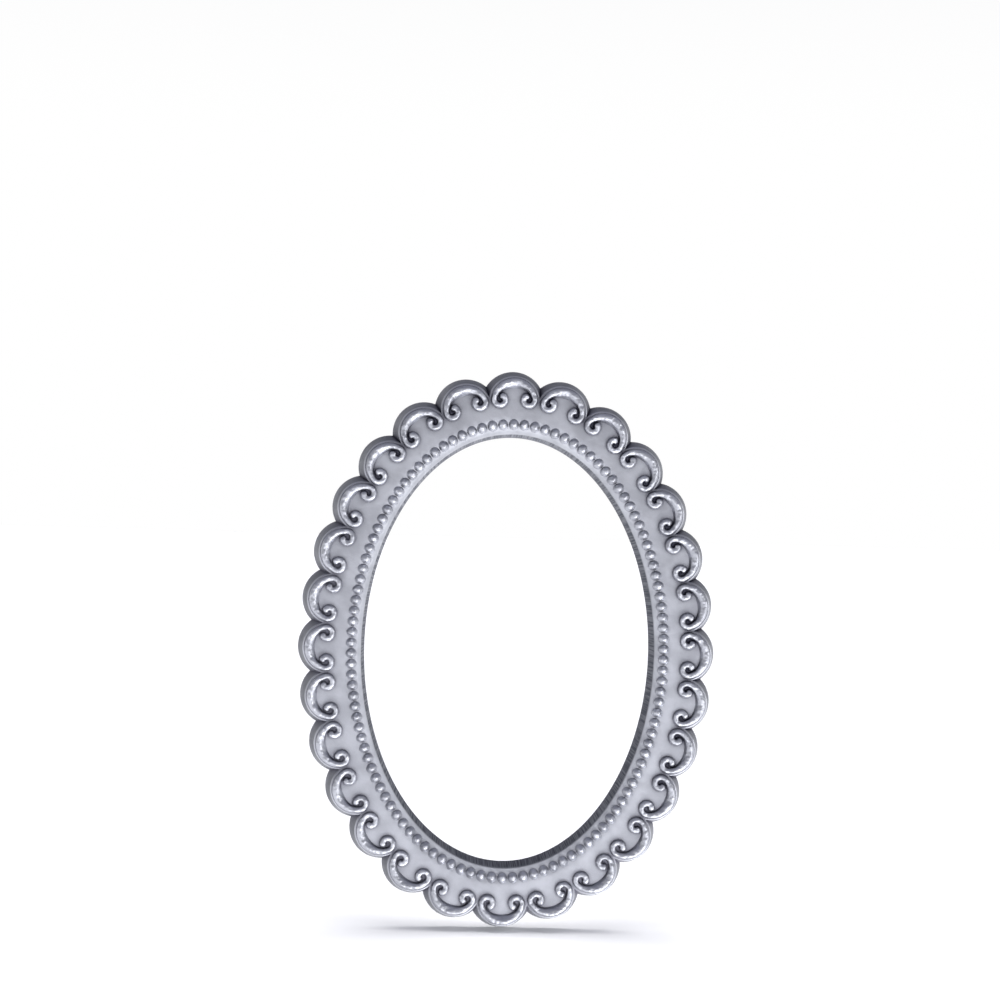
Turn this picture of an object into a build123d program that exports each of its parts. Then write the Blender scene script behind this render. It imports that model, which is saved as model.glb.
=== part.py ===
from build123d import *
import os
from math import atan2, cos, degrees, hypot, radians, sin

# Oval photo frame that holds a print on a steel surface: one silver casting with a scalloped
# scroll border, a ring of beads and an open window, and four disc magnets glued into its back.
# +Z is up and the front faces -Y. The origin is the middle of the window, on the back face.
# All sizes are in millimetres.

# Outline of the back face, across the peaks of the lobes
overall_width = 75.0
overall_height = 100.0

# Heights above the back face
field_height = 5.4  # flat field that carries the scrolls
scroll_rise = 0.9  # crest of a scroll above the field
slope_drop = 0.38  # from the field down to the edge of the window

# Lobes of the border, which follow an oval through their centres
lobe_pitch = 8.6  # along that oval, before rounding to a whole even number of lobes
lobe_radius = 5.7  # at the back face
notch_rise = 1.6  # from the oval out to the notches between the lobes, at the field
ledge_width = 0.35  # bare ledge outside each scroll

# C-scroll on each lobe: a tapered rib that narrows towards its two rolled ends
rib_width_middle = 1.34  # at the foot, in the middle of the C
rib_width_end = 0.84  # at the foot, along the rolled ends
rib_draft = 15.0  # degrees that each side leans in
volute_radius = 1.5  # outside of a rolled end
volute_spread = 78.0  # degrees from the middle of the C to where a rolled end begins
volute_turn = 259.0  # degrees that a rolled end turns through
volute_close = 0.23  # how much nearer to its centre the roll has come at its end
outer_steps = 3, 6  # straight runs along the outer edge of half the C and of a rolled end
inner_steps = 3, 4  # the same along the inner edge

# Slope round the window, with its ring of beads
field_margin = 2.1  # flat field between the rolled ends and the slope
slope_width = 2.65
bead_offset = 0.9  # from the top of the slope to the middle of the beads
bead_sink = 0.2  # centre of a bead below the slope
bead_pitch = 1.9  # before rounding to a whole even number of beads
bead_radius = 0.86
bead_flats = 3  # pairs of opposite sides
bead_shoulder = 45.0  # latitude of the edge between a bead's lower and upper facets, in degrees
window_draft = 0.55  # the window is this much narrower, on each side, at the back

# Disc magnets, their pockets and glue
magnet_diameter = 6.0
magnet_thickness = 2.0
magnet_recess = 0.1  # below the back face
pocket_clearance = 0.15  # round a magnet
glue_thickness = 0.2
glue_clearance = 0.05  # round the glue
magnet_lobe = 4  # lobes from the middle of a side to a magnet

# Depth of the roots that tie the scrolls and beads into the casting
root_depth = 0.3


def oval(inset):
    """Half width and half height of the oval that lies this far inside the outline's peaks."""
    return overall_width / 2 - inset, overall_height / 2 - inset


def oval_path(inset):
    """The same oval as an edge, from +X towards +Z."""
    return Edge.make_ellipse(*oval(inset))


def spots(path, count, start):
    """Evenly spaced places along an oval path, each with its local +X pointing outwards."""
    places = []
    for step in range(count):
        share = (start + step / count) % 1
        along = path % share
        places.append(Location(path @ share, (0, 0, degrees(atan2(along.Y, along.X)) - 90)))
    return places


def even_count(path, pitch):
    return 2 * round(path.length / pitch / 2)


def arm(angle, length):
    """Vector of this length at this angle from +X."""
    return Vector(length * cos(radians(angle)), length * sin(radians(angle)))


# Where the lobes and beads lie
lobe_path = oval_path(lobe_radius)
lobe_count = even_count(lobe_path, lobe_pitch)
lobe_spots = spots(lobe_path, lobe_count, 0)
lobe_centres = [spot.position for spot in lobe_spots]
half_pitch = lobe_path.length / lobe_count / 2
field_radius = hypot(half_pitch, notch_rise)
scroll_radius = field_radius - ledge_width
volute_centre = arm(volute_spread, scroll_radius - volute_radius)
volute_reach = volute_radius - volute_centre.X

slope_inset = lobe_radius + volute_reach + field_margin
bead_path = oval_path(slope_inset + bead_offset)
bead_count = even_count(bead_path, bead_pitch)
bead_spots = spots(bead_path, bead_count, 0.25)
window_front_inset = slope_inset + slope_width
window_back_inset = window_front_inset + window_draft

window_height = field_height - slope_drop
bead_height = field_height - slope_drop * bead_offset / slope_width - bead_sink
pocket_radius = magnet_diameter / 2 + pocket_clearance
pocket_depth = magnet_recess + magnet_thickness + glue_thickness
magnet_spots = [
    lobe_spots[magnet_lobe],
    lobe_spots[lobe_count // 2 - magnet_lobe],
    lobe_spots[lobe_count // 2 + magnet_lobe],
    lobe_spots[lobe_count - magnet_lobe],
]


def notch(index, radius):
    """Point where the circles of a lobe and of the next one cross, outside the oval of lobes."""
    centre = lobe_centres[index]
    half = (lobe_centres[(index + 1) % lobe_count] - centre) / 2
    rise = (radius**2 - half.length**2) ** 0.5
    return centre + half + half.rotate(Axis.Z, -90).normalized() * rise


def scalloped_outline(radius):
    """Closed line of arcs about the lobe centres, which meet in a notch between each two lobes."""
    with BuildLine() as outline:
        for index, spot in enumerate(lobe_spots):
            peak = (spot * Location((radius, 0))).position
            ThreePointArc(notch(index - 1, radius), peak, notch(index, radius))
    return outline.line


def rib_width(share):
    """Width of a scroll's rib at its foot, from the middle of the C (0) to its ends (1)."""
    return rib_width_end + (rib_width_middle - rib_width_end) * cos(share * radians(90))


def scroll_edge(side, steps):
    """Points along half a scroll's foot from the middle of the C, on its outer (0) or inner (1) side."""
    points = []
    for step in range(steps[0] + 1):
        share = step / steps[0]
        points.append(arm(volute_spread * share, scroll_radius - side * rib_width(share)))
    for step in range(1, steps[1] + 1):
        share = step / steps[1]
        reach = volute_radius - volute_close * share - side * rib_width_end
        points.append(volute_centre + arm(volute_spread + volute_turn * share, reach))
    return points


# One scroll, about the centre of its lobe, with its root below the field
with BuildPart() as scroll:
    with BuildSketch():
        with BuildLine():
            tip_reach = volute_radius - volute_close - rib_width_end / 2
            tip_turn = volute_turn + degrees(rib_width_end / 2 / tip_reach)
            tip = volute_centre + arm(volute_spread + tip_turn, tip_reach)
            half = [*scroll_edge(0, outer_steps), tip, *reversed(scroll_edge(1, inner_steps))]
            other_half = [Vector(point.X, -point.Y) for point in half[-2:0:-1]]
            Polyline(*half, *other_half, close=True)
        make_face()
    extrude(amount=scroll_rise)
    draft(scroll.faces().filter_by(Axis.Z, reverse=True), neutral_plane=Plane.XY, angle=rib_draft)
    extrude(scroll.faces().sort_by(Axis.Z)[0], amount=root_depth)

# One bead, a faceted dome with its root below the slope
with BuildPart() as bead:
    flat_radius = bead_radius * cos(radians(90 / bead_flats))
    shoulder = arm(bead_shoulder, 1)
    for flat in range(bead_flats):
        turn = flat * 180 / bead_flats
        with BuildSketch(Plane((0, 0, 0), x_dir=arm(turn, 1), z_dir=arm(turn - 90, 1))):
            with BuildLine():
                dome = Polyline(
                    (0, bead_radius),
                    (flat_radius * shoulder.X, bead_radius * shoulder.Y),
                    (flat_radius, 0),
                    (flat_radius, -root_depth),
                    (0, -root_depth),
                )
                mirror(dome, about=Plane.YZ)
            make_face()
        extrude(amount=bead_radius, both=True, mode=Mode.INTERSECT if flat else Mode.ADD)

# The casting, lying on its back
with BuildPart() as casting:
    # Body with a leaning scalloped wall
    with BuildSketch():
        add(scalloped_outline(lobe_radius))
        make_face()
    extrude(amount=field_height)
    wall_draft = degrees(atan2(lobe_radius - field_radius, field_height))
    draft(casting.faces().filter_by(Axis.Z, reverse=True), neutral_plane=Plane.XY, angle=wall_draft)
    # Slope from the field to the window
    with BuildSketch(Plane.XY.offset(window_height)):
        Ellipse(*oval(window_front_inset))
    with BuildSketch(Plane.XY.offset(field_height)):
        Ellipse(*oval(slope_inset))
    loft(ruled=True, mode=Mode.SUBTRACT)
    # Window, wider at the front
    with BuildSketch():
        Ellipse(*oval(window_back_inset))
    with BuildSketch(Plane.XY.offset(window_height)):
        Ellipse(*oval(window_front_inset))
    loft(ruled=True, mode=Mode.SUBTRACT)
    # Pockets for the magnets
    with BuildSketch():
        with Locations(*magnet_spots):
            Circle(pocket_radius)
    extrude(amount=pocket_depth, mode=Mode.SUBTRACT)
    # Beads and scrolls
    with Locations(*[Location((0, 0, bead_height)) * spot for spot in bead_spots]):
        add(bead.part, clean=False)
    with Locations(*[Location((0, 0, field_height)) * spot for spot in lobe_spots]):
        add(scroll.part, clean=False)

os.makedirs("parts", exist_ok=True)

# The casting stood upright, with its back on the XZ plane
with BuildPart(Plane.XZ) as frame_casting:
    add(casting.part, clean=False)
frame_casting.part.label = "frame_casting"
export_step(frame_casting.part, "parts/frame_casting.step")

for corner, spot in zip(("top_right", "top_left", "bottom_left", "bottom_right"), magnet_spots):
    with BuildPart() as magnet:
        with BuildSketch(Plane.XZ.offset(magnet_recess)):
            with Locations(spot):
                Circle(magnet_diameter / 2)
        extrude(amount=magnet_thickness)
    magnet.part.label = f"magnet_{corner}"
    export_step(magnet.part, f"parts/magnet_{corner}.step")

    with BuildPart() as glue_bed:
        with BuildSketch(Plane.XZ.offset(magnet_recess + magnet_thickness)):
            with Locations(spot):
                Circle(pocket_radius - glue_clearance)
        extrude(amount=glue_thickness)
    glue_bed.part.label = f"glue_bed_{corner}"
    export_step(glue_bed.part, f"parts/glue_bed_{corner}.step")
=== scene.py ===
from bisect import bisect_left
from math import atan2, cos, pi, radians, sin, tau

import bmesh
import bpy
from mathutils import Matrix, Vector


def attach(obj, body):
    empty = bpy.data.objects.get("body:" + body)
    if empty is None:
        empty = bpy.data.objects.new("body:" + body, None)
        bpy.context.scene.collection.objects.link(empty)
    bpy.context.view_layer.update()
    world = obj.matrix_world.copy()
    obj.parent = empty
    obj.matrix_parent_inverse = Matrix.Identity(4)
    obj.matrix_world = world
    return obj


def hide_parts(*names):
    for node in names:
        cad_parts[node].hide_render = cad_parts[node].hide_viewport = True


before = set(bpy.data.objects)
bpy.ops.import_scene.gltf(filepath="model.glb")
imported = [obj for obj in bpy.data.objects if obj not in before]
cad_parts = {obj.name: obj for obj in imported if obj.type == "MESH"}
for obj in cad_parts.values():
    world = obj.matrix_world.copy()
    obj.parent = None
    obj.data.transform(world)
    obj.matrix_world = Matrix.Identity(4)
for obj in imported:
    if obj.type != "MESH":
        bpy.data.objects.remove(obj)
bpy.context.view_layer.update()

# The casting is modelled in millimetres, lying on its back with its front up, and then stood upright.
MM = 0.001
UPRIGHT = Matrix.Rotation(radians(90), 4, "X") @ Matrix.Scale(MM, 4)
UP = Vector((0, 0, 1))

# Meshing
SHARP = radians(40)  # an edge stays sharp where its faces turn by more than this
MERGE = 0.001  # points this near to each other are one
WALK_STEPS = 7200  # for walking along an oval
ROUND_STEPS = 3  # along a rounded edge

# Outline and heights above the back
HALF_WIDTH = 37.5
HALF_HEIGHT = 50.0
FIELD = 5.4
WINDOW_EDGE = 5.02

# Lobes of the border
LOBES = 28
LOBE_RADIUS = 5.7  # at the back
RIM_RADIUS = 4.58  # at the field
LOBE_STEPS = 20
RIM_ROUND = 0.16
BACK_ROUND = 0.12

# C-scroll on each lobe
CREST = 0.9  # above the field
SCROLL_RADIUS = 4.2
RIB_MIDDLE = 1.72  # width in the middle of the C
RIB_END = 1.06  # width where the rolled ends begin
RIB_BULB = 1.36  # width at the tips of the rolled ends
RIB_LEAN = 0.2  # how far the crest leans outwards in the middle of the C
RIB_FULLNESS = 3.0  # power of the rib's outer side, where 2 is an ellipse and 1 a straight slope
SLOPE_FULLNESS = 1.3  # the same for its inner side, in the middle of the C
ROLL_FULLNESS = 2.6  # and along the rolled ends
ROLL_RADIUS = 1.64
ROLL_SPREAD = radians(80)
ROLL_TURN = radians(240)
ROLL_CLOSE = 0.23  # how much nearer to its centre the roll has come at its tip
TIP_TURN = radians(84)  # of the dome that closes a tip, which ends in a small flat
C_STEPS = 14
ROLL_STEPS = 20
TIP_STEPS = 4
RIB_SIDES = 20

# Insets of the ovals inside the outline's peaks
SLOPE = 8.73
FIELD_STRIP = 1.0  # width of the field that is drawn in one with the slope
BEAD_RING = 9.63
WINDOW_FRONT = 11.38
WINDOW_BACK = 11.93
OVAL_STEPS = 240
SLOPE_ROUND = 0.5
EDGE_ROUND = 0.2

# Beads
BEADS = 114
BEAD_RADIUS = 0.92
BEAD_LENGTH = 1.03  # half its size from the field towards the window
BEAD_HEIGHT = 0.86
BEAD_CENTRE = 5.07  # above the back
BEAD_ROOT = 0.3  # below its centre
BEAD_SIDES = 14
BEAD_TIERS = 8

# Magnets in the back, their pockets and glue
MAGNET_LOBE = 4  # lobes from the middle of a side to a magnet
MAGNET_RADIUS = 3.0
MAGNET_THICKNESS = 2.0
MAGNET_RECESS = 0.1
MAGNET_ROUND = 0.2
MAGNET_STEPS = 64
POCKET_RADIUS = 3.15
POCKET_DEPTH = 2.3
POCKET_STEPS = 48
GLUE_INSIDE = MAGNET_RADIUS + 0.02  # radius of the collar of glue round the magnet's side
GLUE_OUTSIDE = POCKET_RADIUS - 0.03
GLUE_FLOOR = POCKET_DEPTH - 0.01
GLUE_RIM = ((3.03, 0.5), (3.07, 0.36), (GLUE_OUTSIDE, 0.42))  # radius and height above the back
CORNERS = ("top_right", "top_left", "bottom_left", "bottom_right")


def from_axes(x, y, z, place):
    """Matrix with these three axes, at this place."""
    return Matrix([[x[i], y[i], z[i], place[i]] for i in range(3)] + [[0, 0, 0, 1]])


def oval(inset):
    """Half width and half height of an oval inside the outline's peaks."""
    return HALF_WIDTH - inset, HALF_HEIGHT - inset


def even_places(inset, count, start):
    """Places evenly along an oval, counted from a share of the way round, with their own +X outwards."""
    wide, high = oval(inset)
    turns = [tau * step / WALK_STEPS for step in range(WALK_STEPS + 1)]
    points = [Vector((wide * cos(turn), high * sin(turn), 0)) for turn in turns]
    walked = [0.0]
    for last, here in zip(points, points[1:]):
        walked.append(walked[-1] + (here - last).length)
    places = []
    for step in range(count):
        stop = bisect_left(walked, walked[-1] * ((start + step / count) % 1))
        facing = atan2(wide * sin(turns[stop]), high * cos(turns[stop]))
        places.append(Matrix.Translation(points[stop]) @ Matrix.Rotation(facing, 4, "Z"))
    return places


lobe_places = even_places(LOBE_RADIUS, LOBES, 0)
bead_places = even_places(BEAD_RING, BEADS, 0.25)
magnet_places = [
    lobe_places[MAGNET_LOBE],
    lobe_places[LOBES // 2 - MAGNET_LOBE],
    lobe_places[LOBES // 2 + MAGNET_LOBE],
    lobe_places[LOBES - MAGNET_LOBE],
]


def notch(index, radius):
    """Point where the circles of a lobe and of the next one cross, on their outer side."""
    centre = lobe_places[index].translation
    half = (lobe_places[(index + 1) % LOBES].translation - centre) / 2
    out = Vector((half.y, -half.x, 0)).normalized()
    return centre + half + out * (radius**2 - half.length_squared) ** 0.5


def scalloped_loop(bm, radius, height):
    """Closed loop of arcs about the lobes' centres, each spun from notch to notch."""
    known_verts, known_edges = set(bm.verts), set(bm.edges)
    for index, place in enumerate(lobe_places):
        centre = place.translation
        first = notch(index - 1, radius)
        last = notch(index, radius)
        sweep = (last - centre).xy.angle_signed((first - centre).xy)
        start = bm.verts.new(first + UP * height)
        bmesh.ops.spin(
            bm, geom=[start], cent=centre + UP * height, axis=UP, angle=sweep, steps=LOBE_STEPS
        )
    fresh = [vert for vert in bm.verts if vert not in known_verts]
    bmesh.ops.remove_doubles(bm, verts=fresh, dist=MERGE)
    return [edge for edge in bm.edges if edge not in known_edges]


def edges_of(verts):
    """Edges at these vertices, each once."""
    return list(dict.fromkeys(edge for vert in verts for edge in vert.link_edges))


def drawn_on(bm, loop, matrix):
    """Extrudes a loop of edges, moves the new loop by a matrix and returns it."""
    drawn = bmesh.ops.extrude_edge_only(bm, edges=loop)["geom"]
    verts = [item for item in drawn if isinstance(item, bmesh.types.BMVert)]
    bmesh.ops.transform(bm, matrix=matrix, verts=verts)
    new = set(verts)
    return [item for item in drawn if isinstance(item, bmesh.types.BMEdge) and set(item.verts) <= new]


def rounded(corner, before, after, radius):
    """Points of a rounded corner between two neighbours, each an (inset or radius, height) pair."""
    corner, before, after = Vector(corner), Vector(before), Vector(after)
    start = corner + (before - corner).normalized() * radius
    end = corner + (after - corner).normalized() * radius
    points = []
    for step in range(ROUND_STEPS + 1):
        share = step / ROUND_STEPS
        points.append((1 - share) ** 2 * start + 2 * share * (1 - share) * corner + share**2 * end)
    return [tuple(point) for point in points]


def add_wall(bm):
    """Scalloped wall that leans in towards the field. Returns its loops at the back and at the field."""
    back_corner = (LOBE_RADIUS, 0)
    rim_corner = (RIM_RADIUS, FIELD)
    profile = rounded(back_corner, (0, 0), rim_corner, BACK_ROUND)
    profile += rounded(rim_corner, back_corner, (0, FIELD), RIM_ROUND)
    loops = [scalloped_loop(bm, radius, height) for radius, height in profile]
    for lower, upper in zip(loops, loops[1:]):
        bmesh.ops.bridge_loops(bm, edges=lower + upper)
    for edge in loops[-1]:
        edge.smooth = False
    return loops[0], loops[-1]


def add_window(bm):
    """Slope from the field to the window, and its wall. Returns its rings at the field and the back."""
    flat = (SLOPE - FIELD_STRIP, FIELD)
    slope_top = (SLOPE, FIELD)
    window_front = (WINDOW_FRONT, WINDOW_EDGE)
    window_back = (WINDOW_BACK, 0)
    profile = [flat]
    profile += rounded(slope_top, flat, window_front, SLOPE_ROUND)
    profile += rounded(window_front, slope_top, window_back, EDGE_ROUND)
    profile += rounded(window_back, window_front, (WINDOW_FRONT, 0), EDGE_ROUND)
    inset, height = flat
    wide, high = oval(inset)
    circle = bmesh.ops.create_circle(bm, segments=OVAL_STEPS, radius=1)["verts"]
    place = Matrix.Translation((0, 0, height)) @ Matrix.Diagonal((wide, high, 1, 1))
    bmesh.ops.transform(bm, matrix=place, verts=circle)
    rings = [edges_of(circle)]
    for next_inset, next_height in profile[1:]:
        next_wide, next_high = oval(next_inset)
        grow = Matrix.Diagonal((next_wide / wide, next_high / high, 1, 1))
        rings.append(drawn_on(bm, rings[-1], Matrix.Translation((0, 0, next_height - height)) @ grow))
        wide, high, height = next_wide, next_high, next_height
    return rings[0], rings[-1]


def add_body(bm):
    """Scalloped ring with its wall, flat field, slope, window and a back with the magnets' pockets."""
    wall_back, wall_field = add_wall(bm)
    window_field, window_back = add_window(bm)
    bmesh.ops.triangle_fill(bm, edges=wall_field + window_field, use_beauty=True)
    mouths = []
    for place in magnet_places:
        circle = bmesh.ops.create_circle(bm, segments=POCKET_STEPS, radius=POCKET_RADIUS, matrix=place)
        mouths.append(edges_of(circle["verts"]))
    bmesh.ops.triangle_fill(bm, edges=sum(mouths, wall_back + window_back), use_beauty=True)
    for mouth in mouths:
        floor_edge = drawn_on(bm, mouth, Matrix.Translation((0, 0, POCKET_DEPTH)))
        bmesh.ops.edgeloop_fill(bm, edges=floor_edge)
        for edge in mouth + floor_edge:
            edge.smooth = False
    bmesh.ops.recalc_face_normals(bm, faces=bm.faces)


def finished_mesh(bm, name):
    mesh = bpy.data.meshes.new(name)
    bm.to_mesh(mesh)
    bm.free()
    return mesh


def rib_section(centre, angle, outer, width, fade=0.0):
    """One cross-section of a rib: a matrix that places a unit circle, and how far it is the C's middle."""
    out = Vector((cos(angle), sin(angle), 0))
    along = Vector((-sin(angle), cos(angle), 0))
    across = out * (width / 2)
    rise = UP * CREST + out * RIB_LEAN * fade
    middle = centre + out * (outer - width / 2)
    return from_axes(across, rise, along, middle), fade


def scroll_sections():
    """Cross-sections along a whole C-scroll, from one rolled tip to the other."""
    half = []
    for step in range(C_STEPS + 1):
        share = step / C_STEPS
        fade = cos(share * pi / 2) ** 2
        width = RIB_END + (RIB_MIDDLE - RIB_END) * fade
        half.append(rib_section(Vector(), ROLL_SPREAD * share, SCROLL_RADIUS, width, fade))
    spread = Vector((cos(ROLL_SPREAD), sin(ROLL_SPREAD), 0))
    centre = spread * (SCROLL_RADIUS - ROLL_RADIUS)
    for step in range(1, ROLL_STEPS + 1):
        share = step / ROLL_STEPS
        width = RIB_END + (RIB_BULB - RIB_END) * share**3
        angle = ROLL_SPREAD + ROLL_TURN * share
        half.append(rib_section(centre, angle, ROLL_RADIUS - ROLL_CLOSE * share, width))
    tip = half[-1][0]
    onwards = tip.col[2].xyz * RIB_BULB / 2
    for step in range(1, TIP_STEPS + 1):
        share = step / TIP_STEPS * TIP_TURN
        shrink = Matrix.Diagonal((cos(share), cos(share), 1, 1))
        half.append((Matrix.Translation(onwards * sin(share)) @ tip @ shrink, 0.0))
    flip = Matrix.Diagonal((1, -1, 1, 1))
    return [(flip @ section, fade) for section, fade in reversed(half[1:])] + half


def fill_out(ring, section, fade):
    """Gives a round cross-section of a rib its fuller outer side and its sloping inner side."""
    back = section.inverted()
    inner_fullness = ROLL_FULLNESS + (SLOPE_FULLNESS - ROLL_FULLNESS) * fade
    for vert in {vert for edge in ring for vert in edge.verts}:
        spot = back @ vert.co
        power = RIB_FULLNESS if spot.x > 0 else inner_fullness
        vert.co = section @ (spot / (abs(spot.x) ** power + abs(spot.y) ** power) ** (1 / power))


def scroll_mesh():
    """One C-scroll, a tube drawn along its cross-sections."""
    bm = bmesh.new()
    sections = scroll_sections()
    circle = bmesh.ops.create_circle(bm, segments=RIB_SIDES, radius=1)["verts"]
    bmesh.ops.transform(bm, matrix=sections[0][0], verts=circle)
    rings = [edges_of(circle)]
    for (last, _), (here, _) in zip(sections, sections[1:]):
        rings.append(drawn_on(bm, rings[-1], here @ last.inverted()))
    for ring, (section, fade) in zip(rings, sections):
        fill_out(ring, section, fade)
    bmesh.ops.edgeloop_fill(bm, edges=rings[0])
    bmesh.ops.edgeloop_fill(bm, edges=rings[-1])
    bmesh.ops.recalc_face_normals(bm, faces=bm.faces)
    return finished_mesh(bm, "scroll")


def bead_mesh():
    """One bead, a ball cut off below the slope."""
    bm = bmesh.new()
    shape = Matrix.Diagonal((BEAD_LENGTH, BEAD_RADIUS, BEAD_HEIGHT, 1))
    bmesh.ops.create_uvsphere(
        bm, u_segments=BEAD_SIDES, v_segments=BEAD_TIERS, radius=1, matrix=shape
    )
    geom = bm.verts[:] + bm.edges[:] + bm.faces[:]
    cut = bmesh.ops.bisect_plane(
        bm, geom=geom, plane_co=(0, 0, -BEAD_ROOT), plane_no=UP, clear_inner=True
    )["geom_cut"]
    bmesh.ops.edgeloop_fill(bm, edges=[item for item in cut if isinstance(item, bmesh.types.BMEdge)])
    return finished_mesh(bm, "bead")


def add_copies(bm, mesh, height, places):
    """Adds a copy of a mesh at each place, this far above the back."""
    for place in places:
        count = len(bm.verts)
        bm.from_mesh(mesh)
        bm.verts.ensure_lookup_table()
        bmesh.ops.transform(
            bm, matrix=Matrix.Translation((0, 0, height)) @ place, verts=bm.verts[count:]
        )


def magnet_disc(place):
    """Disc magnet with rounded rims, in its place in the back."""
    bm = bmesh.new()
    bmesh.ops.create_cone(
        bm,
        cap_ends=True,
        segments=MAGNET_STEPS,
        radius1=MAGNET_RADIUS,
        radius2=MAGNET_RADIUS,
        depth=MAGNET_THICKNESS,
    )
    rims = [edge for edge in bm.edges if edge.calc_face_angle(0) > SHARP]
    bmesh.ops.bevel(
        bm,
        geom=rims,
        offset=MAGNET_ROUND,
        segments=ROUND_STEPS,
        profile=0.5,
        affect="EDGES",
        material=-1,
    )
    middle = MAGNET_RECESS + MAGNET_THICKNESS / 2
    bmesh.ops.transform(bm, matrix=Matrix.Translation((0, 0, middle)) @ place, verts=bm.verts)
    return bm


def glue_cup(place):
    """Glue under a magnet and in a collar round its side, spun from half a cross-section."""
    bm = bmesh.new()
    underside = MAGNET_RECESS + MAGNET_THICKNESS
    profile = [(0, underside), (GLUE_INSIDE, underside), *GLUE_RIM]
    profile += [(GLUE_OUTSIDE, GLUE_FLOOR), (0, GLUE_FLOOR)]
    points = [bm.verts.new((radius, 0, height)) for radius, height in profile]
    for last, here in zip(points, points[1:]):
        bm.edges.new((last, here))
    half = bm.verts[:] + bm.edges[:]
    bmesh.ops.spin(
        bm, geom=half, cent=(0, 0, 0), axis=UP, angle=tau, steps=POCKET_STEPS, use_merge=True
    )
    bmesh.ops.remove_doubles(bm, verts=bm.verts, dist=MERGE)
    bmesh.ops.recalc_face_normals(bm, faces=bm.faces)
    bmesh.ops.transform(bm, matrix=place, verts=bm.verts)
    return bm


def stand_up(bm, name, material):
    """Stands a finished bmesh upright as an object of the scene that rides on the frame."""
    bmesh.ops.transform(bm, matrix=UPRIGHT, verts=bm.verts)
    for face in bm.faces:
        face.smooth = True
    for edge in bm.edges:
        if edge.calc_face_angle(0) > SHARP:
            edge.smooth = False
    piece = bpy.data.objects.new(name, finished_mesh(bm, name))
    bpy.context.scene.collection.objects.link(piece)
    piece.data.materials.append(material)
    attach(piece, "root")
    return piece


# Sockets of a Mix node that mixes colours
MIX_FACTOR, MIX_FIRST, MIX_SECOND, MIX_RESULT = 0, 6, 7, 2


class Wire:
    """An output socket of a node tree, on which plain arithmetic adds Math nodes."""

    def __init__(self, tree, socket=None):
        self.tree = tree
        self.socket = socket

    def node(self, kind, inputs=None, settings=None, out=0):
        """Adds a node and gives it its settings and then its inputs, which are values or wires."""
        node = self.tree.nodes.new(kind)
        for name, value in (settings or {}).items():
            setattr(node, name, value)
        for name, value in (inputs or {}).items():
            if isinstance(value, Wire):
                self.tree.links.new(value.socket, node.inputs[name])
            else:
                node.inputs[name].default_value = value
        if out is None:
            return None
        if isinstance(out, tuple):
            return [Wire(self.tree, node.outputs[number]) for number in out]
        return Wire(self.tree, node.outputs[out])

    def maths(self, operation, first, second=0.0):
        return self.node("ShaderNodeMath", {0: first, 1: second}, {"operation": operation})

    def __add__(self, other):
        return self.maths("ADD", self, other)

    def __sub__(self, other):
        return self.maths("SUBTRACT", self, other)

    def __mul__(self, other):
        return self.maths("MULTIPLY", self, other)

    def __truediv__(self, other):
        return self.maths("DIVIDE", self, other)

    def __pow__(self, other):
        return self.maths("POWER", self, other)

    def between(self, first, second):
        """Number that goes from first to second as this value goes from 0 to 1."""
        return self * (second - first) + first

    def ramp(self, low, high):
        """Smooth step from 0 at low to 1 at high."""
        inputs = {"Value": self, "From Min": low, "From Max": high}
        return self.node("ShaderNodeMapRange", inputs, {"interpolation_type": "SMOOTHSTEP"})

    def mix(self, first, second):
        """Colour that goes from first to second as this value goes from 0 to 1."""
        inputs = {MIX_FACTOR: self, MIX_FIRST: first, MIX_SECOND: second}
        return self.node("ShaderNodeMix", inputs, {"data_type": "RGBA"}, out=MIX_RESULT)

    def parts(self):
        """The three parts of a vector."""
        return self.node("ShaderNodeSeparateXYZ", {"Vector": self}, out=(0, 1, 2))


def new_material(name):
    """A material whose node tree is empty, and a wire on it."""
    material = bpy.data.materials.new(name)
    material.use_nodes = True
    material.node_tree.nodes.clear()
    return material, Wire(material.node_tree)


def surface(wire, shader, inputs):
    """Adds a shader and links it to the material's output."""
    wire.node("ShaderNodeOutputMaterial", {"Surface": wire.node(shader, inputs)}, out=None)


def object_spot(wire):
    """Object coordinates, in metres."""
    return wire.node("ShaderNodeTexCoord", out="Object")


def noise(wire, scale, detail):
    """Noise on Object coordinates, with its scale in features to the metre."""
    inputs = {"Vector": object_spot(wire), "Scale": scale, "Detail": detail}
    return wire.node("ShaderNodeTexNoise", inputs)


def open_air(wire, reach):
    """How open the surface is to the air within this reach, from 0 in a crevice to 1 on a flat."""
    settings = {"samples": 8, "only_local": True}
    return wire.node("ShaderNodeAmbientOcclusion", {"Distance": reach}, settings, out="AO")


def inside_oval(across, up, inset, edge):
    """1 inside an oval and 0 outside it, with a soft edge between two values of its equation."""
    wide, high = [size * MM for size in oval(inset)]
    return ((across / wide) ** 2 + (up / high) ** 2).ramp(*edge)


# Ovals of the finish: insets, and values of their equation at their soft edge
LINING_INSET = WINDOW_FRONT - 0.05  # just outside the window's edge
LINING_EDGE = (1, 0.99)
BEADING_INSET = BEAD_RING - BEAD_LENGTH  # outside of the beads
BEADING_EDGE = (1, 0.98)
LIP_INSET = BEAD_RING + BEAD_LENGTH  # inside of the beads
LIP_EDGE = (1.015, 0.985)

# Heights above the back between which the casting's finish changes
WALL_FROM = (FIELD, 4.5)  # silver front to matt wall
BACK_FROM = (0.3, 0.1)  # matt wall to sanded back
RAISED_FROM = (5.5, 6.0)  # field to raised ribs and beads

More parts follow.
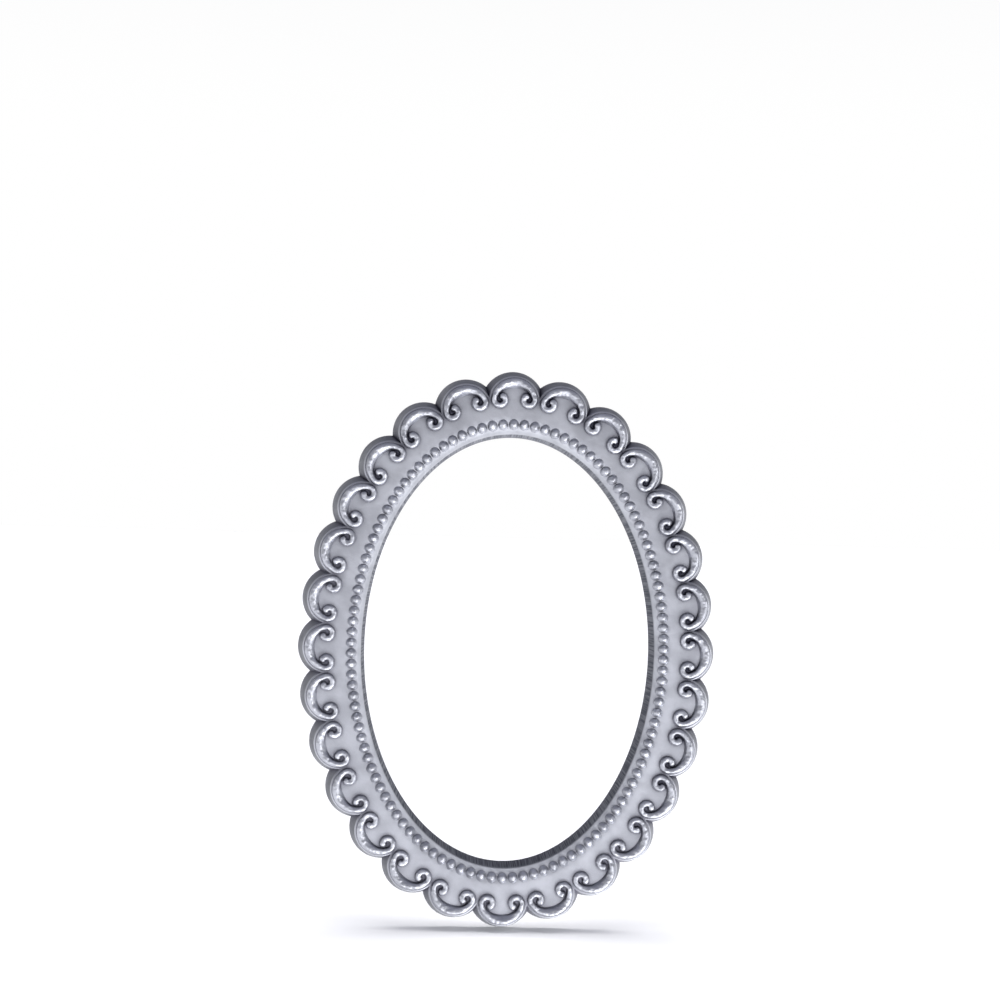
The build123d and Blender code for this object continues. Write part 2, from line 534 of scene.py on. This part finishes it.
# Colours of the finish
SILVER = ((0.405, 0.415, 0.452, 1), (0.523, 0.536, 0.58, 1))
THIN_COAT = ((0.186, 0.191, 0.206, 1), (0.256, 0.262, 0.278, 1))
LINING = ((0.08, 0.085, 0.1, 1), (0.19, 0.195, 0.215, 1))
BARE_BACK = ((0.17, 0.17, 0.18, 1), (0.235, 0.235, 0.245, 1))
# Dark colour of the pinholes: painted shade in the holes
PINHOLE_PAINTED_SHADE = (0.04, 0.04, 0.045, 1)
# Painted shade in nooks and creases, laid over the coat
NOOK_PAINTED_SHADE = (0.16, 0.16, 0.19, 1)
# Painted shade in recesses, lightest first: lighter at the lower left, darker at the upper right
RECESS_PAINTED_SHADE = ((0.15, 0.15, 0.185, 1), (0.02, 0.02, 0.04, 1))
RECESS_SHADE_FROM = (-0.025, 0.02)  # across plus up, in metres, as the painted shade in recesses darkens to the upper right
NOOK_SHADE = (0.55, 0.15)  # share of the painted shade in nooks on the field and at the beads
OVERSPRAY = 0.55  # share of silver where it has strayed onto the back

# Values of noise between which a colour turns into the other
MOTTLE_FROM = (0.3, 0.7)
OVERSPRAY_FROM = (0.42, 0.68)
STRIAE_FROM = (0.35, 0.65)
SANDING_FROM = (0.3, 0.7)
TARNISH_FROM = (0.35, 0.7)
CLOUD_FROM = (0.35, 0.7)

# Openness at which the painted shade in nooks and recesses begins and ends, and its reach in metres
NOOK_REACH = 0.005
NOOK_FROM = (0.97, 0.65)
RECESS_REACH = 0.0012
RECESS_FROM = (0.8, 0.3)

# Relief of the finish, in tenths of a millimetre, of which a share shows
RELIEF_UNIT = 0.0001
RELIEF_SHARE = 0.6
HAMMERED = (0.5, 6.0)  # on the field and on raised ribs and beads
GRAIN = (0.2, 0.03)  # the same
STRIAE = 0.6
SANDING = 0.5
PINHOLE_DEPTH = 2.0

# Gloss of the finish
METALLIC = 0.85
SPECULAR = 0.12
ROUGHNESS = 0.27
GRAIN_ROUGHNESS = 0.1
MATT_ROUGHNESS = 0.42
RECESS_ROUGHNESS = 0.2
LIP_ROUGHNESS = 0.3

# Lines on the window's wall, sanding marks and pinholes
STRIAE_AROUND = 130  # features to the radian
STRIAE_DEEP = 100  # features to the metre
SANDING_SLANT = (0, radians(28), 0)
SANDING_SCALE = (420, 1, 5200)
PINHOLE_SCALE = 800.0
PINHOLE_PICK = (0.9, 0.91)  # random number of a cell above which it holds a pinhole
PINHOLE_SIZE = (0.16, 0.1)  # from its rim to its floor, as shares of a cell


def window_striae(wire, across, depth, up):
    """Fine lines from front to back on the wall of the window."""
    wide, high = [size * MM for size in oval(LINING_INSET)]
    turn = wire.maths("ARCTAN2", up / high, across / wide)
    around = wire.node("ShaderNodeCombineXYZ", {0: turn * STRIAE_AROUND, 1: depth * STRIAE_DEEP})
    return wire.node("ShaderNodeTexNoise", {"Vector": around, "Scale": 1.0, "Detail": 1.0})


def sanded(wire, spot):
    """Slanting sanding marks and a scatter of pinholes, for the flat back of a casting."""
    stretch = {"Vector": spot, "Rotation": SANDING_SLANT, "Scale": SANDING_SCALE}
    strokes = wire.node("ShaderNodeMapping", stretch)
    marks = wire.node("ShaderNodeTexNoise", {"Vector": strokes, "Scale": 1.0, "Detail": 3.0})
    cells = {"Vector": spot, "Scale": PINHOLE_SCALE}
    far, shade = wire.node("ShaderNodeTexVoronoi", cells, out=(0, 1))
    picked = wire.node("ShaderNodeSeparateColor", {"Color": shade}).ramp(*PINHOLE_PICK)
    return marks, picked * far.ramp(*PINHOLE_SIZE)


def silver_paint():
    """Satin silver front, thin matt coat on the walls, sanded matt back, and painted shade in nooks and
    recesses.
    """
    material, wire = new_material("satin silver paint")
    mottle = noise(wire, scale=230, detail=3).ramp(*MOTTLE_FROM)
    hammer = noise(wire, scale=950, detail=1)
    grain = noise(wire, scale=4200, detail=2)
    overspray = noise(wire, scale=75, detail=4).ramp(*OVERSPRAY_FROM)

    # Zones of the casting
    spot = object_spot(wire)
    across, depth, up = spot.parts()
    height = depth * (-1 / MM)
    wall = height.ramp(*WALL_FROM)
    back = height.ramp(*BACK_FROM)
    raised = height.ramp(*RAISED_FROM)
    inside = inside_oval(across, up, LINING_INSET, LINING_EDGE)
    beading = inside_oval(across, up, BEADING_INSET, BEADING_EDGE)
    lip = inside_oval(across, up, LIP_INSET, LIP_EDGE)
    matt = wire.maths("MAXIMUM", wall, inside)
    nook_shade_mask = open_air(wire, NOOK_REACH).ramp(*NOOK_FROM)
    recess = open_air(wire, RECESS_REACH).ramp(*RECESS_FROM)

    # Colour, with painted shade in nooks and darker painted shade in recesses over the coat
    striae = window_striae(wire, across, depth, up)
    sanding, pinholes = sanded(wire, spot)
    silver = mottle.mix(*SILVER)
    bare = sanding.ramp(*SANDING_FROM).mix(*BARE_BACK)
    sprayed = (overspray * OVERSPRAY).mix(bare, silver)
    # Pinholes darkened with painted shade
    rear = pinholes.mix(sprayed, PINHOLE_PAINTED_SHADE)
    outside = back.mix(wall.mix(silver, mottle.mix(*THIN_COAT)), rear)
    coat = inside.mix(outside, striae.ramp(*STRIAE_FROM).mix(*LINING))
    # Painted shade in nooks, weaker among the beads
    shaded = (nook_shade_mask * beading.between(*NOOK_SHADE)).mix(coat, NOOK_PAINTED_SHADE)
    # Painted shade in recesses, darker towards the upper right
    painted_recess_shade = (across + up).ramp(*RECESS_SHADE_FROM).mix(*RECESS_PAINTED_SHADE)

    relief = hammer * raised.between(*HAMMERED) + grain * raised.between(*GRAIN) + inside * striae * STRIAE
    relief = relief + back * (sanding * SANDING - pinholes * PINHOLE_DEPTH)
    bump = {"Strength": RELIEF_SHARE, "Distance": RELIEF_UNIT, "Height": relief}
    roughness = grain * GRAIN_ROUGHNESS + ROUGHNESS + matt * MATT_ROUGHNESS
    roughness = roughness + recess * RECESS_ROUGHNESS + lip * LIP_ROUGHNESS
    surface(
        wire,
        "ShaderNodeBsdfPrincipled",
        {
            "Base Color": recess.mix(shaded, painted_recess_shade),
            "Metallic": matt.between(METALLIC, 0),
            "Roughness": roughness,
            "Specular IOR Level": SPECULAR,
            "Normal": wire.node("ShaderNodeBump", bump),
        },
    )
    return material


# Nickel plate and set glue
NICKEL = ((0.62, 0.6, 0.56, 1), (0.68, 0.67, 0.65, 1))
NICKEL_ROUGHNESS = (0.14, 0.34)
SCRATCHES = {"Strength": 0.1, "Distance": 0.00003}
EPOXY = ((0.62, 0.55, 0.38, 1), (0.74, 0.69, 0.54, 1))
EPOXY_ROUGHNESS = (0.12, 0.32)


def nickel():
    """Bright nickel plate with fine scratches."""
    material, wire = new_material("nickel plate")
    scratches = noise(wire, scale=2600, detail=4)
    tarnish = noise(wire, scale=500, detail=2).ramp(*TARNISH_FROM)
    surface(
        wire,
        "ShaderNodeBsdfPrincipled",
        {
            "Base Color": tarnish.mix(*NICKEL),
            "Metallic": 1.0,
            "Roughness": scratches.between(*NICKEL_ROUGHNESS),
            "Normal": wire.node("ShaderNodeBump", {**SCRATCHES, "Height": scratches}),
        },
    )
    return material


def epoxy():
    """Set glue, yellowish and glossy, with cloudy spots."""
    material, wire = new_material("set epoxy")
    cloud = noise(wire, scale=900, detail=3)
    surface(
        wire,
        "ShaderNodeBsdfPrincipled",
        {
            "Base Color": cloud.ramp(*CLOUD_FROM).mix(*EPOXY),
            "Roughness": cloud.between(*EPOXY_ROUGHNESS),
        },
    )
    return material


silver = silver_paint()
nickel_plate = nickel()
glue = epoxy()

casting = bmesh.new()
add_body(casting)
add_copies(casting, scroll_mesh(), FIELD, lobe_places)
add_copies(casting, bead_mesh(), BEAD_CENTRE, bead_places)
silver_casting = stand_up(casting, "silver_casting", silver)
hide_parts("frame_casting")

for corner, place in zip(CORNERS, magnet_places):
    magnet = stand_up(magnet_disc(place), f"disc_magnet_{corner}", nickel_plate)
    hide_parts(f"magnet_{corner}")

    glue_bed = stand_up(glue_cup(place), f"set_glue_{corner}", glue)
    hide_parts(f"glue_bed_{corner}")

# Floor under the lowest lobe
FLOOR_REACH = 4.0
FLOOR_COLOUR = (0.86, 0.86, 0.86, 1)
floor_mesh = bmesh.new()
bmesh.ops.create_grid(floor_mesh, x_segments=1, y_segments=1, size=FLOOR_REACH)
bmesh.ops.translate(floor_mesh, vec=(0, 0, -HALF_HEIGHT * MM), verts=floor_mesh.verts)
floor = bpy.data.objects.new("floor", finished_mesh(floor_mesh, "floor"))
bpy.context.scene.collection.objects.link(floor)
floor_white, wire = new_material("pale floor")
surface(wire, "ShaderNodeBsdfDiffuse", {"Color": FLOOR_COLOUR})
floor.data.materials.append(floor_white)
floor.visible_shadow = False

# Studio surroundings: a white room that is dimmer behind the camera, at its sides and overhead
WHITE = (1, 1, 1, 1)
BEHIND_CAMERA = (0.42, 0.42, 0.44, 1)
SIDE_LOW = (0.8, 0.8, 0.8, 1)
SIDE_HIGH = (0.4, 0.405, 0.43, 1)
CEILING = (0.35, 0.355, 0.44, 1)

# Parts of a direction between which the room's colours change
BEHIND_FROM = (-0.85, -0.3)
SIDE_FROM = (0.4, 0.95)
HIGH_FROM = (0.14, 0.36)
CEILING_FROM = (0.15, 0.75)

world = bpy.data.worlds.new("studio")
bpy.context.scene.world = world
world.use_nodes = True
world.node_tree.nodes.clear()
wire = Wire(world.node_tree)
sideways, forwards, upwards = wire.node("ShaderNodeTexCoord", out="Generated").parts()
room = forwards.ramp(*BEHIND_FROM).mix(BEHIND_CAMERA, WHITE)
sides = upwards.ramp(*HIGH_FROM).mix(SIDE_LOW, SIDE_HIGH)
room = wire.maths("ABSOLUTE", sideways).ramp(*SIDE_FROM).mix(room, sides)
shade = upwards.ramp(*CEILING_FROM).mix(room, CEILING)
sky = wire.node("ShaderNodeBackground", {"Color": shade, "Strength": 1.0})
wire.node("ShaderNodeOutputWorld", {"Surface": sky}, out=None)


def softbox(name, place, size, power):
    """A rectangular studio light that points at the middle of the frame."""
    lamp = bpy.data.lights.new(name, "AREA")
    lamp.shape = "RECTANGLE"
    lamp.size, lamp.size_y = size
    lamp.energy = power
    light = bpy.data.objects.new(name, lamp)
    light.location = place
    light.rotation_euler = (Vector() - Vector(place)).to_track_quat("-Z", "Y").to_euler()
    light.visible_camera = False
    bpy.context.scene.collection.objects.link(light)


softbox("low softbox", place=(0.3, -0.46, -0.6), size=(0.6, 0.4), power=9)
softbox("right softbox", place=(0.6, -0.6, 0), size=(0.14, 0.24), power=0.9)

# A wide soft light overhead, on the floor alone
floor_group = bpy.data.collections.new("floor group")
floor_group.objects.link(floor)
overhead = bpy.data.lights.new("overhead", "SUN")
overhead.energy = 3.0
overhead.angle = radians(60)
overhead_light = bpy.data.objects.new("overhead", overhead)
overhead_light.light_linking.receiver_collection = floor_group
bpy.context.scene.collection.objects.link(overhead_light)

# Camera at the photograph's viewing angle
DISTANCE = 0.4
YAW = radians(2.7)
ROLL = radians(1.5)
SPAN = 0.1802  # width of the picture at the back of the frame
OFF_RIGHT = 0.00117  # the frame's middle, right of and below the middle of the picture
OFF_DOWN = 0.02691
SENSOR = 36.0
CLIP_START = 0.01
ahead = Vector((sin(YAW), cos(YAW), 0))
level = Vector((cos(YAW), -sin(YAW), 0))
right = level * cos(ROLL) + UP * sin(ROLL)
top = UP * cos(ROLL) - level * sin(ROLL)
viewpoint = top * OFF_DOWN - right * OFF_RIGHT - ahead * DISTANCE
lens = bpy.data.cameras.new("camera")
lens.sensor_width = SENSOR
lens.lens = SENSOR * DISTANCE / SPAN
lens.clip_start = CLIP_START
camera = bpy.data.objects.new("camera", lens)
camera.matrix_world = from_axes(right, top, -ahead, viewpoint)
bpy.context.scene.collection.objects.link(camera)
bpy.context.scene.camera = camera

bpy.context.scene.view_settings.view_transform = "Standard"
